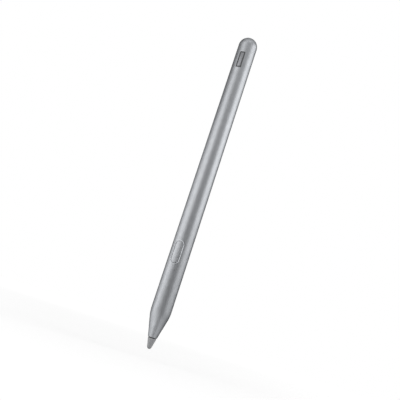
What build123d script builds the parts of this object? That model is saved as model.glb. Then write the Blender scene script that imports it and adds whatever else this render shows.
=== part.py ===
from build123d import *
import os
from math import atan, cos, degrees, sin, sqrt

# A slim stylus pen for a tablet, standing upright: nib down, end cap up, side button
# towards -Y, docking flat towards +Y. The origin is on the pen's axis, at the middle of
# the straight barrel. All sizes are in millimetres.

# Outer shape
barrel_diameter = 9.5
barrel_length = 139.25  # straight part, from the nose's shoulder to the end cap
barrel_wall = 0.6
nose_length = 16.0  # from the nib's point to the shoulder
shoulder_blend = 18.0
mouth_radius = 2.1
mouth_round = 0.1
dock_flat_depth = 0.4

# Clearances
slip_gap = 0.04  # between pieces that are pushed into place
running_gap = 0.05  # between pieces that slide on each other
chassis_gap = 0.1
overrun = 1.0  # how far a cut runs past what it cuts
same_place = 0.001  # two lengths closer than this are taken as one

# Nib
nib_length = 4.8
nib_gap = 0.4
nib_point_radius = 1.02
nib_edge_round = 0.05
nib_rim_wall = 0.06  # at the floor of the pocket in the nib's back
nib_socket_depth = 2.4
nib_bush_radius = 0.85

# Pin, its guide and its spring
pin_radius = 0.5
pin_end_gap = 0.15
pin_end_bevel = 0.12
pin_tail = 1.6  # reach of the pin behind the holder's wall
collar_radius = 1.5
collar_length = 0.8
seal_sink = 0.25
seal_length = 0.9
seal_eye_gap = 0.25
electrode_length = 5.0
electrode_wall = 0.25
spring_radius = 1.15
spring_wire_radius = 0.14
spring_turns = 5

# Force sensor
holder_wall = 1.6
holder_side_wall = 0.81
holder_ledge = 0.7
pressure_pad_radius = 0.9
pressure_pad_length = 0.8
sensor_width = 2.6
sensor_height = 1.0
sensor_board_thickness = 0.6
clamp_length = 1.4
clamp_ring_wall = 0.85
flex_width = 1.6
flex_thickness = 0.15
flex_landing = 1.5  # length of ribbon soldered to the main board
flex_gap = 0.2

# Side button and its switch
button_width = 3.5
button_length = 10.4
button_height = 44.7  # from the nib's point to the button's middle
button_gap = 0.12
button_bevel = 0.26  # across the barrel's surface, round the button's slot
button_bevel_depth = 0.15
button_sink = 0.03
button_edge_round = 0.15
flange_lip = 0.55
flange_edge = 0.55
button_pad_width = 2.0
button_pad_length = 6.0
button_pad_thickness = 0.4
switch_width = 3.2
switch_length = 3.8
switch_height = 0.9
switch_floor = 0.2
plunger_radius = 0.8
plunger_reach = 0.45
plunger_root = 0.4

# Badge plate
badge_width = 2.8
badge_length = 8.8
badge_corner = 0.4
badge_drop = 14.4  # from the top of the end cap to the plate's middle
badge_depth = 0.25
badge_sink = 0.04

# Chassis
chassis_end_wall = 3.0
chassis_wall = 2.5
cradle_wall = 1.1
cell_gap = 0.25
rear_bay_length = 20.0

# Main board and what is soldered to it
board_length = 51.0
board_thickness = 0.8
board_end_gap = 0.3
part_spacing = 1.2
controller_width = 4.0
controller_height = 0.8
radio_width = 3.0
radio_height = 0.6
can_width = 5.0
can_height = 1.1
can_wall = 0.15
power_width = 2.4
power_height = 0.7
crystal_width = 1.6
crystal_length = 2.0
crystal_height = 0.5
capacitor_width = 0.5
capacitor_length = 1.0
capacitor_height = 0.5
capacitor_inset = 5.0
capacitor_pitch = 1.8
capacitor_edge = 0.75  # from the board's edge to a capacitor's middle
capacitors_in_row = 3

# Board screws
screw_head_radius = 0.9
screw_head_height = 0.5
screw_shank_radius = 0.55
screw_reach = 1.3  # length of shank in the chassis
screw_inset = 1.8  # from the board's upper end to a screw's middle
screw_edge = 1.25  # from the board's edge to a screw's middle
screw_slot_width = 0.2
screw_slot_depth = 0.2

# Charging coil and docking magnets
magnet_width = 3.0
magnet_depth = 1.6
magnet_length = 7.0
magnet_spacing = 2.0
magnet_inset = 0.6  # clear of the board's lower screw, or of the rear bay's wall
magnet_sink = 0.05
rear_magnet_count = 2
coil_width = 3.4
coil_length = 11.0
coil_thickness = 0.5
coil_winding = 1.0  # width of the winding round its window
coil_inset = 0.6  # clear of the board's upper screw
ferrite_thickness = 1.0

# Cell
protection_thickness = 0.6
foam_length = 0.8
cell_edge_round = 0.4
cell_end_margin = 0.4  # how much less radius the pieces at its ends have
lead_width = 0.8
lead_thickness = 0.15
lead_landing = 2.5
lead_offsets = (-2.0, -0.6)

# End cap and aerial
spigot_length = 5.0
spigot_wall = 0.9
cap_groove_depth = 0.45
cap_groove_width = 0.9
cap_groove_offset = 1.6
cap_seal_gap = 0.05
antenna_side_gap = 0.36  # least gap beside it in the spigot
antenna_thickness = 0.6
antenna_reach = 1.2  # how far it enters the dome
antenna_landing = 5.0
coax_radius = 0.22
coax_gap = 0.12
coax_landing = 3.0
coax_end_gap = 0.2

# Worked out from these: radii and flats
barrel_radius = barrel_diameter / 2
bore_radius = barrel_radius - barrel_wall
dock_flat = barrel_radius - dock_flat_depth
bore_flat = dock_flat - barrel_wall
chassis_radius = bore_radius - chassis_gap
chassis_flat = bore_flat - chassis_gap

# Heights along the axis, from the nib's point upwards
front_z = -barrel_length / 2
rear_z = barrel_length / 2
tip_z = front_z - nose_length
nib_back_z = tip_z + nib_length
mouth_z = nib_back_z + nib_gap
nose_slope = (barrel_radius - mouth_radius) / (front_z - mouth_z)
nose_angle = atan(nose_slope)
nose_wall = barrel_wall / cos(nose_angle)
bore_front_z = mouth_z + (bore_radius - mouth_radius + nose_wall) / nose_slope
seal_front_z = mouth_z + seal_sink
seal_back_z = seal_front_z + seal_length
holder_front_z = bore_front_z + slip_gap
bush_back_z = holder_front_z - electrode_length
collar_back_z = bush_back_z + collar_length
pad_front_z = holder_front_z + holder_wall + pin_tail
pad_back_z = pad_front_z + pressure_pad_length
ledge_z = pad_back_z + sensor_height
sensor_board_back_z = ledge_z + sensor_board_thickness
chassis_front_z = sensor_board_back_z + clamp_length
tray_front_z = chassis_front_z + chassis_end_wall
board_front_z = tray_front_z + board_end_gap
board_back_z = board_front_z + board_length
tray_back_z = board_back_z + board_end_gap
cell_bay_front_z = tray_back_z + chassis_wall
chassis_back_z = rear_z - spigot_length
rear_bay_z = chassis_back_z - rear_bay_length
cell_bay_back_z = rear_bay_z - chassis_wall
button_z = tip_z + button_height
badge_z = rear_z + barrel_radius - badge_drop

# Distances in front of the axis, towards the button
flange_width = button_width + 2 * flange_lip
flange_length = button_length + 2 * flange_lip
flange_radius = bore_radius - button_gap
button_floor = sqrt(flange_radius**2 - (flange_width / 2) ** 2) - flange_edge
plunger_face = button_floor - button_pad_thickness
switch_face = plunger_face - plunger_reach
board_face = switch_face - switch_height
board_back = board_face - board_thickness
cell_radius = (bore_radius - cell_gap + chassis_flat - cradle_wall) / 2
cell_axis = bore_radius - cell_gap - cell_radius
coax_axis = cell_axis + coax_radius + slip_gap
coax_x = sqrt((bore_radius - coax_gap - coax_radius) ** 2 - coax_axis**2)
board_width = 2 * (coax_x - coax_radius - coax_gap)
screw_x = board_width / 2 - screw_edge
capacitor_x = board_width / 2 - capacitor_edge

# Seats in the sensor's cup and in the end cap
sensor_seat_radius = bore_radius - slip_gap - holder_side_wall
sensor_cavity_radius = sensor_seat_radius - holder_ledge
spigot_radius = bore_radius - slip_gap
spigot_flat = bore_flat - slip_gap
spigot_bore = spigot_radius - spigot_wall
antenna_front = cell_axis + antenna_thickness
antenna_width = 2 * (sqrt(spigot_bore**2 - antenna_front**2) - antenna_side_gap)
coax_front_z = board_back_z - coax_landing


def nose_bore(z):
    # Radius of the nose's inner cone at a height
    return mouth_radius - nose_wall + nose_slope * (z - mouth_z)


def d_section(radius, flat):
    # A circle with the docking side cut flat
    Circle(radius)
    with Locations((0, flat)):
        Rectangle(2 * radius, radius, align=(Align.CENTER, Align.MIN), mode=Mode.SUBTRACT)


def bar(width, near, far, low, high, x=0, mode=Mode.ADD):
    # A block between two distances in front of the axis and two heights
    with Locations((x, -(near + far) / 2, (low + high) / 2)):
        Box(width, far - near, high - low, mode=mode)


def cut_docking_side(flat):
    # Takes away all that lies beyond the flat
    bar(2 * barrel_diameter, -flat - barrel_diameter, -flat, 2 * tip_z, -2 * tip_z, mode=Mode.SUBTRACT)


def upright_slot(length, width):
    # The button's outline, drawn on a plane that faces it
    with Locations((0, button_z)):
        SlotOverall(length, width, rotation=90)


def edges_at(edges, radius):
    # The edges whose middle lies at a radius from the axis
    return [e for e in edges if abs(Vector((e @ 0.5).X, (e @ 0.5).Y).length - radius) < same_place]


def magnet_fronts(count, start):
    # Heights of the lower ends of a row of magnets
    return [start + i * (magnet_length + magnet_spacing) for i in range(count)]


# Row along the board: ribbon, screw, magnets, coil, screw
flex_end_z = board_front_z + flex_landing
low_screw_z = flex_end_z + flex_gap + screw_head_radius
high_screw_z = board_back_z - screw_inset
coil_back_z = high_screw_z - screw_head_radius - coil_inset
coil_front_z = coil_back_z - coil_length
magnet_row_z = low_screw_z + screw_head_radius + magnet_inset
front_magnet_count = int((coil_front_z - magnet_row_z) / (magnet_length + magnet_spacing))
front_magnet_zs = magnet_fronts(front_magnet_count, magnet_row_z)
rear_magnet_zs = magnet_fronts(rear_magnet_count, rear_bay_z + magnet_inset)
dock_face = -(chassis_flat - magnet_sink)
os.makedirs("parts", exist_ok=True)

# Hollow of the barrel: a cone in the nose and a D-shaped bore behind it
with BuildPart() as hollow:
    with BuildSketch(Plane.XZ):
        with BuildLine():
            Polyline(
                (0, mouth_z - overrun),
                (nose_bore(mouth_z), mouth_z - overrun),
                (nose_bore(mouth_z), mouth_z),
                (bore_radius, bore_front_z),
                (bore_radius, rear_z + overrun),
                (0, rear_z + overrun),
                close=True,
            )
        make_face()
    revolve(axis=Axis.Z)
    cut_docking_side(bore_flat)

# Place for the badge plate, a rounded rectangle sunk evenly into the curved wall
with BuildPart() as badge_place:
    with BuildSketch(Plane.XZ):
        with Locations((0, badge_z)):
            RectangleRounded(badge_width, badge_length, badge_corner)
    extrude(amount=barrel_diameter)
    with BuildSketch(Plane.XY.offset(badge_z - badge_length)):
        Circle(barrel_radius - badge_depth)
    extrude(amount=2 * badge_length, mode=Mode.SUBTRACT)

# Barrel: tube and nose in one piece
with BuildPart() as barrel:
    with BuildSketch(Plane.XZ) as profile:
        with BuildLine():
            Polyline(
                (0, mouth_z),
                (mouth_radius, mouth_z),
                (barrel_radius, front_z),
                (barrel_radius, rear_z),
                (0, rear_z),
                close=True,
            )
        make_face()
        fillet(profile.vertices().group_by(Axis.Y)[0].sort_by(Axis.X)[-1], radius=mouth_round)
        fillet(profile.vertices().group_by(Axis.X)[-1].sort_by(Axis.Y)[0], radius=shoulder_blend)
    revolve(axis=Axis.Z)
    cut_docking_side(dock_flat)
    add(hollow.part, mode=Mode.SUBTRACT)
    with BuildSketch(Plane.XZ):
        upright_slot(button_length + 2 * button_gap, button_width + 2 * button_gap)
    extrude(amount=barrel_diameter, mode=Mode.SUBTRACT)
    slot_rim = edges_at(barrel.edges(Select.LAST), barrel_radius)
    outer_face = barrel.faces().filter_by(GeomType.CYLINDER).sort_by(SortBy.AREA)[-1]
    chamfer(slot_rim, length=button_bevel, length2=button_bevel_depth, reference=outer_face)
    add(badge_place.part, mode=Mode.SUBTRACT)
barrel.part.label = "barrel"
export_step(barrel.part, "parts/barrel.step")

# Badge plate: follows the barrel's curve, a little below its surface
with BuildPart() as badge_plate:
    with BuildSketch(Plane.XZ):
        with Locations((0, badge_z)):
            plate_corner = badge_corner - slip_gap
            RectangleRounded(badge_width - 2 * slip_gap, badge_length - 2 * slip_gap, plate_corner)
    extrude(amount=barrel_diameter)
    with BuildSketch(Plane.XY.offset(badge_z - badge_length)):
        Circle(barrel_radius - badge_sink)
        Circle(barrel_radius - badge_depth + slip_gap, mode=Mode.SUBTRACT)
    extrude(amount=2 * badge_length, mode=Mode.INTERSECT)
badge_plate.part.label = "badge_plate"
export_step(badge_plate.part, "parts/badge_plate.step")

# End cap: a dome with a D-shaped spigot that closes the barrel
with BuildPart() as end_cap:
    with BuildSketch(Plane.XZ):
        with BuildLine():
            CenterArc((0, rear_z), barrel_radius, 0, 90)
            Polyline(
                (barrel_radius, rear_z),
                (spigot_radius, rear_z),
                (spigot_radius, chassis_back_z),
                (spigot_bore, chassis_back_z),
                (spigot_bore, rear_z),
            )
            CenterArc((0, rear_z), spigot_bore, 0, 90)
            Line((0, rear_z + spigot_bore), (0, rear_z + barrel_radius))
        make_face()
    revolve(axis=Axis.Z)
    cut_docking_side(dock_flat)
    bar(barrel_diameter, -barrel_diameter, -spigot_flat, chassis_back_z, rear_z, mode=Mode.SUBTRACT)
    groove_z = rear_z - cap_groove_offset - cap_groove_width
    groove_radius = spigot_radius - cap_groove_depth
    groove_flat = spigot_flat - cap_groove_depth
    with BuildSketch(Plane.XY.offset(groove_z)) as groove:
        Circle(barrel_radius)
        with BuildSketch(Plane.XY, mode=Mode.PRIVATE) as groove_floor:
            d_section(groove_radius, groove_flat)
        add(groove_floor.sketch, mode=Mode.SUBTRACT)
    extrude(amount=cap_groove_width, mode=Mode.SUBTRACT)
end_cap.part.label = "end_cap"
export_step(end_cap.part, "parts/end_cap.step")

# Sealing ring in the end cap's groove
with BuildPart() as cap_seal:
    with BuildSketch(Plane.XY.offset(groove_z + cap_seal_gap)):
        d_section(bore_radius - slip_gap / 2, bore_flat - slip_gap / 2)
    extrude(amount=cap_groove_width - 2 * cap_seal_gap)
    with BuildSketch(Plane.XY.offset(groove_z)):
        d_section(groove_radius + slip_gap / 2, groove_flat + slip_gap / 2)
    extrude(amount=cap_groove_width, mode=Mode.SUBTRACT)
cap_seal.part.label = "cap_seal"
export_step(cap_seal.part, "parts/cap_seal.step")

# Nib: a round point on a cone that carries on the nose's line
with BuildPart() as nib:
    point_edge = nib_point_radius * cos(nose_angle)
    point_height = nib_point_radius * (1 - sin(nose_angle))
    nib_back_radius = point_edge + (nib_length - point_height) * nose_slope
    nib_pocket_depth = nib_gap - 2 * running_gap
    nib_pocket_radius = nib_back_radius - nib_pocket_depth * nose_slope - nib_rim_wall
    with BuildSketch(Plane.XZ) as profile:
        with BuildLine():
            CenterArc((0, tip_z + nib_point_radius), nib_point_radius, -90, 90 - degrees(nose_angle))
            Polyline(
                (point_edge, tip_z + point_height),
                (nib_back_radius, nib_back_z),
                (0, nib_back_z),
                (0, tip_z),
            )
        make_face()
        fillet(profile.vertices().sort_by(Axis.X)[-1], radius=nib_edge_round)
    revolve(axis=Axis.Z)
    with BuildSketch(Plane.XY.offset(nib_back_z)):
        Circle(nib_bush_radius + slip_gap / 2)
    extrude(amount=-nib_socket_depth, mode=Mode.SUBTRACT)
    # Pocket that lets the seal's lip in when the nib is pressed
    with BuildSketch(Plane.XY.offset(nib_back_z)):
        Circle(nib_pocket_radius)
    extrude(amount=-nib_pocket_depth, mode=Mode.SUBTRACT)
nib.part.label = "nib"
export_step(nib.part, "parts/nib.step")

# Bush in the nib that grips the pin
with BuildPart() as nib_bush:
    with BuildSketch(Plane.XY.offset(nib_back_z)):
        Circle(nib_bush_radius)
        Circle(pin_radius + running_gap / 2, mode=Mode.SUBTRACT)
    extrude(amount=-nib_socket_depth)
nib_bush.part.label = "nib_bush"
export_step(nib_bush.part, "parts/nib_bush.step")

# Pin with its stop collar
with BuildPart() as nib_pin:
    pin_front_z = nib_back_z - nib_socket_depth + pin_end_gap
    with BuildSketch(Plane.XY.offset(pin_front_z)):
        Circle(pin_radius)
    extrude(amount=pad_front_z - pin_front_z)
    chamfer(nib_pin.edges().group_by(Axis.Z)[0], length=pin_end_bevel)
    with BuildSketch(Plane.XY.offset(bush_back_z)):
        Circle(collar_radius)
    extrude(amount=collar_length)
nib_pin.part.label = "nib_pin"
export_step(nib_pin.part, "parts/nib_pin.step")


def nose_lining(low, high, outer_gap):
    # Four corners of a cone that lines the nose, from its axis outwards
    return (
        (0, low),
        (nose_bore(low) - outer_gap, low),
        (nose_bore(high) - outer_gap, high),
        (0, high),
    )


# Dark sealing ring inside the mouth, with a lip in front of it that closes the gap to the nib
with BuildPart() as nib_seal:
    lip_front_z, lip_back_z = nib_back_z + running_gap, mouth_z - slip_gap
    with BuildSketch(Plane.XZ):
        with BuildLine():
            Polyline(*nose_lining(seal_front_z, seal_back_z, slip_gap), close=True)
        make_face()
    revolve(axis=Axis.Z)
    with BuildSketch(Plane.XY.offset(lip_front_z)):
        Circle(nose_bore(mouth_z) - slip_gap)
    extrude(amount=seal_front_z - lip_front_z)
    with BuildSketch(Plane.XY.offset(lip_front_z)):
        Circle(nib_pocket_radius - running_gap)
    extrude(amount=lip_back_z - lip_front_z)
    with BuildSketch(Plane.XY.offset(lip_front_z)):
        Circle(pin_radius + seal_eye_gap)
    extrude(amount=seal_back_z - lip_front_z, mode=Mode.SUBTRACT)
    with BuildSketch(Plane.XY.offset(lip_front_z)):
        Circle(nib_bush_radius + 2 * running_gap)
    extrude(amount=seal_front_z - lip_front_z, mode=Mode.SUBTRACT)
nib_seal.part.label = "nib_seal"
export_step(nib_seal.part, "parts/nib_seal.step")

# Guide that the pin slides in
with BuildPart() as front_bush:
    with BuildSketch(Plane.XZ):
        with BuildLine():
            Polyline(*nose_lining(seal_back_z, bush_back_z, slip_gap), close=True)
        make_face()
    revolve(axis=Axis.Z)
    with BuildSketch(Plane.XY.offset(seal_back_z)):
        Circle(pin_radius + running_gap)
    extrude(amount=bush_back_z - seal_back_z, mode=Mode.SUBTRACT)
front_bush.part.label = "front_bush"
export_step(front_bush.part, "parts/front_bush.step")

# Thin metal cone that senses the pen's lean
with BuildPart() as tilt_electrode:
    for outer_gap, mode in ((slip_gap, Mode.ADD), (slip_gap + electrode_wall, Mode.SUBTRACT)):
        with BuildSketch(Plane.XZ):
            with BuildLine():
                Polyline(*nose_lining(bush_back_z, bore_front_z, outer_gap), close=True)
            make_face()
        revolve(axis=Axis.Z, mode=mode)
    cut_docking_side(bore_flat - slip_gap)
tilt_electrode.part.label = "tilt_electrode"
export_step(tilt_electrode.part, "parts/tilt_electrode.step")

# Spring that pushes the pin against its stop
with BuildPart() as preload_spring:
    spring_seat = spring_wire_radius + slip_gap
    spring_height = holder_front_z - collar_back_z - 2 * spring_seat
    spring_pitch = spring_height / spring_turns
    with BuildLine() as coil_line:
        Helix(spring_pitch, spring_height, spring_radius, center=(0, 0, collar_back_z + spring_seat))
    with BuildSketch(Plane(origin=coil_line.line @ 0, z_dir=coil_line.line % 0)):
        Circle(spring_wire_radius)
    sweep(is_frenet=True)
preload_spring.part.label = "preload_spring"
export_step(preload_spring.part, "parts/preload_spring.step")
print(f"least gap between the spring's turns: {spring_pitch - 2 * spring_wire_radius:.2f} mm")

# Cup that carries the force sensor
with BuildPart() as sensor_holder:
    with BuildSketch(Plane.XY.offset(holder_front_z)):
        d_section(bore_radius - slip_gap, bore_flat - slip_gap)
    extrude(amount=chassis_front_z - holder_front_z)
    with BuildSketch(Plane.XY.offset(ledge_z)):
        Circle(sensor_seat_radius)
    extrude(amount=chassis_front_z - ledge_z, mode=Mode.SUBTRACT)
    with BuildSketch(Plane.XY.offset(holder_front_z + holder_wall)):
        Circle(sensor_cavity_radius)
    extrude(amount=chassis_front_z - holder_front_z - holder_wall, mode=Mode.SUBTRACT)
    with BuildSketch(Plane.XY.offset(holder_front_z)):
        Circle(pin_radius + running_gap)
    extrude(amount=holder_wall, mode=Mode.SUBTRACT)
sensor_holder.part.label = "sensor_holder"
export_step(sensor_holder.part, "parts/sensor_holder.step")

# Soft pad between the pin and the sensor
with BuildPart() as pressure_pad:
    with BuildSketch(Plane.XY.offset(pad_front_z)):
        Circle(pressure_pad_radius)
    extrude(amount=pressure_pad_length)
pressure_pad.part.label = "pressure_pad"
export_step(pressure_pad.part, "parts/pressure_pad.step")

# Force sensor on its round board
with BuildPart() as force_sensor:
    with BuildSketch(Plane.XY.offset(pad_back_z)):
        Rectangle(sensor_width, sensor_width)
    extrude(amount=sensor_height)
force_sensor.part.label = "force_sensor"
export_step(force_sensor.part, "parts/force_sensor.step")

with BuildPart() as sensor_board:
    with BuildSketch(Plane.XY.offset(ledge_z)):
        Circle(sensor_seat_radius - slip_gap)
    extrude(amount=sensor_board_thickness)
sensor_board.part.label = "sensor_board"
export_step(sensor_board.part, "parts/sensor_board.step")

# Ribbon from the sensor board to the main board
with BuildPart() as sensor_flex:
    bar(flex_width, board_face, board_face + flex_thickness, sensor_board_back_z, flex_end_z)
sensor_flex.part.label = "sensor_flex"
export_step(sensor_flex.part, "parts/sensor_flex.step")

# Chassis: a D-shaped spine with a tray, a cradle for the cell and a rear bay
with BuildPart() as chassis:
    with BuildSketch(Plane.XY.offset(chassis_front_z)):
        d_section(chassis_radius, chassis_flat)
    extrude(amount=chassis_back_z - chassis_front_z)
    with BuildSketch(Plane.XY.offset(sensor_board_back_z)):
        clamp_radius = sensor_seat_radius - slip_gap
        Circle(clamp_radius)
        Circle(clamp_radius - clamp_ring_wall, mode=Mode.SUBTRACT)
    extrude(amount=clamp_length)
    # Tray for the main board, open towards the button
    bar(barrel_diameter, board_back, barrel_diameter, tray_front_z, tray_back_z, mode=Mode.SUBTRACT)
    # Cradle for the cell, and the rear bay, open towards the same side
    bar(barrel_diameter, cell_axis, barrel_diameter, cell_bay_front_z, cell_bay_back_z, mode=Mode.SUBTRACT)
    bar(barrel_diameter, cell_axis, barrel_diameter, rear_bay_z, chassis_back_z, mode=Mode.SUBTRACT)
    with BuildSketch(Plane.XY.offset(cell_bay_front_z)):
        with Locations((0, -cell_axis)):
            Circle(cell_radius + slip_gap)
    extrude(amount=cell_bay_back_z - cell_bay_front_z, mode=Mode.SUBTRACT)
    # Ways through the walls for the ribbon, the cell's strips and the coaxial lead
    flex_way = flex_width + 2 * flex_gap
    flex_top = board_face + flex_thickness + flex_gap
    bar(flex_way, board_back, flex_top, chassis_front_z, tray_front_z, mode=Mode.SUBTRACT)
    lead_way = max(lead_offsets) - min(lead_offsets) + lead_width + 2 * flex_gap
    lead_middle = (max(lead_offsets) + min(lead_offsets)) / 2
    lead_top = board_face + lead_thickness + flex_gap
    bar(lead_way, board_back, lead_top, tray_back_z, cell_bay_front_z, lead_middle, Mode.SUBTRACT)
    coax_way = barrel_radius - coax_x + coax_radius + coax_gap
    coax_middle = barrel_radius - coax_way / 2
    coax_top = coax_axis + coax_radius + coax_gap
    coax_low = coax_front_z - coax_gap
    bar(coax_way, cell_axis, coax_top, coax_low, chassis_back_z, coax_middle, Mode.SUBTRACT)
    # Pockets for the magnets and the coil, open towards the flat
    pocket_floor = dock_face + magnet_depth
    for magnet_z in front_magnet_zs + rear_magnet_zs:
        low, high = magnet_z - slip_gap, magnet_z + magnet_length + slip_gap
        bar(magnet_width + 2 * slip_gap, -barrel_diameter, pocket_floor, low, high, mode=Mode.SUBTRACT)
    coil_floor = dock_face + coil_thickness + ferrite_thickness
    low, high = coil_front_z - slip_gap, coil_back_z + slip_gap
    bar(coil_width + 2 * slip_gap, -barrel_diameter, coil_floor, low, high, mode=Mode.SUBTRACT)
    # Holes for the board's screws
    with BuildSketch(Plane.XZ.offset(board_back)):
        with Locations((screw_x, low_screw_z), (screw_x, high_screw_z)):
            Circle(screw_shank_radius + slip_gap)
    extrude(amount=-screw_reach - slip_gap, mode=Mode.SUBTRACT)
chassis.part.label = "chassis"
export_step(chassis.part, "parts/chassis.step")

# Main board
with BuildPart() as main_board:
    bar(board_width, board_back, board_face, board_front_z, board_back_z)
    with BuildSketch(Plane.XZ.offset(board_back)):
        with Locations((screw_x, low_screw_z), (screw_x, high_screw_z)):
            Circle(screw_shank_radius + slip_gap)
    extrude(amount=board_thickness, mode=Mode.SUBTRACT)
main_board.part.label = "main_board"
export_step(main_board.part, "parts/main_board.step")

# Screws that hold the board to the chassis
with BuildPart() as board_screws:
    for screw_z in (low_screw_z, high_screw_z):
        with BuildSketch(Plane.XZ.offset(board_back - screw_reach)):
            with Locations((screw_x, screw_z)):
                Circle(screw_shank_radius)
        extrude(amount=screw_reach + board_thickness)
        with BuildSketch(Plane.XZ.offset(board_face)):
            with Locations((screw_x, screw_z)):
                Circle(screw_head_radius)
        extrude(amount=screw_head_height)
        head_top = board_face + screw_head_height
        low, high = screw_z - screw_slot_width / 2, screw_z + screw_slot_width / 2
        bar(2 * screw_head_radius, head_top - screw_slot_depth, head_top, low, high, screw_x, Mode.SUBTRACT)
board_screws.part.label = "board_screws"
export_step(board_screws.part, "parts/board_screws.step")

# Push switch under the button
with BuildPart() as switch_body:
    switch_front_z, switch_back_z = button_z - switch_length / 2, button_z + switch_length / 2
    bar(switch_width, board_face, switch_face, switch_front_z, switch_back_z)
    with BuildSketch(Plane.XZ.offset(board_face + switch_floor)):
        with Locations((0, button_z)):
            Circle(plunger_radius + running_gap)
    extrude(amount=switch_height - switch_floor, mode=Mode.SUBTRACT)
switch_body.part.label = "switch_body"
export_step(switch_body.part, "parts/switch_body.step")

with BuildPart() as switch_plunger:
    with BuildSketch(Plane.XZ.offset(switch_face - plunger_root)):
        with Locations((0, button_z)):
            Circle(plunger_radius)
    extrude(amount=plunger_root + plunger_reach)
switch_plunger.part.label = "switch_plunger"
export_step(switch_plunger.part, "parts/switch_plunger.step")

# Lip that keeps the button in the barrel, shaped to the bore
with BuildPart() as button_lip:
    with BuildSketch(Plane.XZ.offset(button_floor)):
        upright_slot(flange_length, flange_width)
    extrude(amount=barrel_diameter)
    with BuildSketch(Plane.XY.offset(button_z - flange_length)):
        Circle(flange_radius)
    extrude(amount=2 * flange_length, mode=Mode.INTERSECT)

# Side button, flush with the barrel
with BuildPart() as button:
    with BuildSketch(Plane.XZ.offset(button_floor)):
        upright_slot(button_length, button_width)
    extrude(amount=barrel_diameter)
    with BuildSketch(Plane.XY.offset(button_z - button_length)):
        Circle(barrel_radius - button_sink)
    extrude(amount=2 * button_length, mode=Mode.INTERSECT)
    fillet(edges_at(button.edges(), barrel_radius - button_sink), radius=button_edge_round)
    add(button_lip.part)
button.part.label = "button"
export_step(button.part, "parts/button.step")

# Soft pad between the button and the switch
with BuildPart() as button_pad:
    with BuildSketch(Plane.XZ.offset(plunger_face)):
        upright_slot(button_pad_length, button_pad_width)
    extrude(amount=button_pad_thickness)
button_pad.part.label = "button_pad"
export_step(button_pad.part, "parts/button_pad.step")

# Chips in a row behind the button
controller_z = button_z + flange_length / 2 + part_spacing + controller_width / 2
can_z = controller_z + controller_width / 2 + part_spacing + can_width / 2
power_z = can_z + can_width / 2 + part_spacing + power_width / 2
crystal_z = button_z - switch_length / 2 - part_spacing - crystal_length / 2


def chip(width, length, height, z):
    # A flat block on the main board
    bar(width, board_face, board_face + height, z - length / 2, z + length / 2)


with BuildPart() as controller_chip:
    chip(controller_width, controller_width, controller_height, controller_z)
controller_chip.part.label = "controller_chip"
export_step(controller_chip.part, "parts/controller_chip.step")

with BuildPart() as radio_chip:
    chip(radio_width, radio_width, radio_height, can_z)
radio_chip.part.label = "radio_chip"
export_step(radio_chip.part, "parts/radio_chip.step")

# Metal cover over the radio chip
with BuildPart() as shield_can:
    chip(can_width, can_width, can_height, can_z)
    can_inside = can_width - 2 * can_wall
    low, high = can_z - can_inside / 2, can_z + can_inside / 2
    bar(can_inside, board_face, board_face + can_height - can_wall, low, high, mode=Mode.SUBTRACT)
shield_can.part.label = "shield_can"
export_step(shield_can.part, "parts/shield_can.step")

with BuildPart() as power_chip:
    chip(power_width, power_width, power_height, power_z)
power_chip.part.label = "power_chip"
export_step(power_chip.part, "parts/power_chip.step")

with BuildPart() as crystal:
    chip(crystal_width, crystal_length, crystal_height, crystal_z)
crystal.part.label = "crystal"
export_step(crystal.part, "parts/crystal.step")

# Two rows of small capacitors near the board's lower end
with BuildPart() as board_capacitors:
    for x in (-capacitor_x, capacitor_x):
        for i in range(capacitors_in_row):
            low = board_front_z + capacitor_inset + i * capacitor_pitch
            high = low + capacitor_length
            bar(capacitor_width, board_face, board_face + capacitor_height, low, high, x)
board_capacitors.part.label = "board_capacitors"
export_step(board_capacitors.part, "parts/board_capacitors.step")

# Charging coil on its ferrite, behind the docking flat
with BuildPart() as coil_ferrite:
    bar(coil_width, dock_face + coil_thickness, coil_floor, coil_front_z, coil_back_z)
coil_ferrite.part.label = "coil_ferrite"
export_step(coil_ferrite.part, "parts/coil_ferrite.step")

with BuildPart() as charging_coil:
    with BuildSketch(Plane.XZ.offset(dock_face)):
        with Locations((0, (coil_front_z + coil_back_z) / 2)):
            RectangleRounded(coil_width, coil_length, coil_winding)
            Rectangle(coil_width - 2 * coil_winding, coil_length - 2 * coil_winding, mode=Mode.SUBTRACT)
    extrude(amount=coil_thickness)
charging_coil.part.label = "charging_coil"
export_step(charging_coil.part, "parts/charging_coil.step")

# Docking magnets, lower and upper rows
with BuildPart() as front_magnets:
    for magnet_z in front_magnet_zs:
        bar(magnet_width, dock_face, pocket_floor, magnet_z, magnet_z + magnet_length)
front_magnets.part.label = "front_magnets"
export_step(front_magnets.part, "parts/front_magnets.step")

with BuildPart() as rear_magnets:
    for magnet_z in rear_magnet_zs:
        bar(magnet_width, dock_face, pocket_floor, magnet_z, magnet_z + magnet_length)
rear_magnets.part.label = "rear_magnets"
export_step(rear_magnets.part, "parts/rear_magnets.step")

# Cell, with its protection board in front and a foam pad behind
cell_front_z = cell_bay_front_z + protection_thickness
cell_back_z = cell_bay_back_z - foam_length
with BuildPart() as protection_board:
    with BuildSketch(Plane.XY.offset(cell_bay_front_z)):
        with Locations((0, -cell_axis)):
            Circle(cell_radius - cell_end_margin)
    extrude(amount=protection_thickness)
protection_board.part.label = "protection_board"
export_step(protection_board.part, "parts/protection_board.step")

with BuildPart() as battery:
    with BuildSketch(Plane.XY.offset(cell_front_z)):
        with Locations((0, -cell_axis)):
            Circle(cell_radius)
    extrude(amount=cell_back_z - cell_front_z)
    fillet(battery.edges().filter_by(GeomType.CIRCLE), radius=cell_edge_round)
battery.part.label = "battery"
export_step(battery.part, "parts/battery.step")

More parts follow.
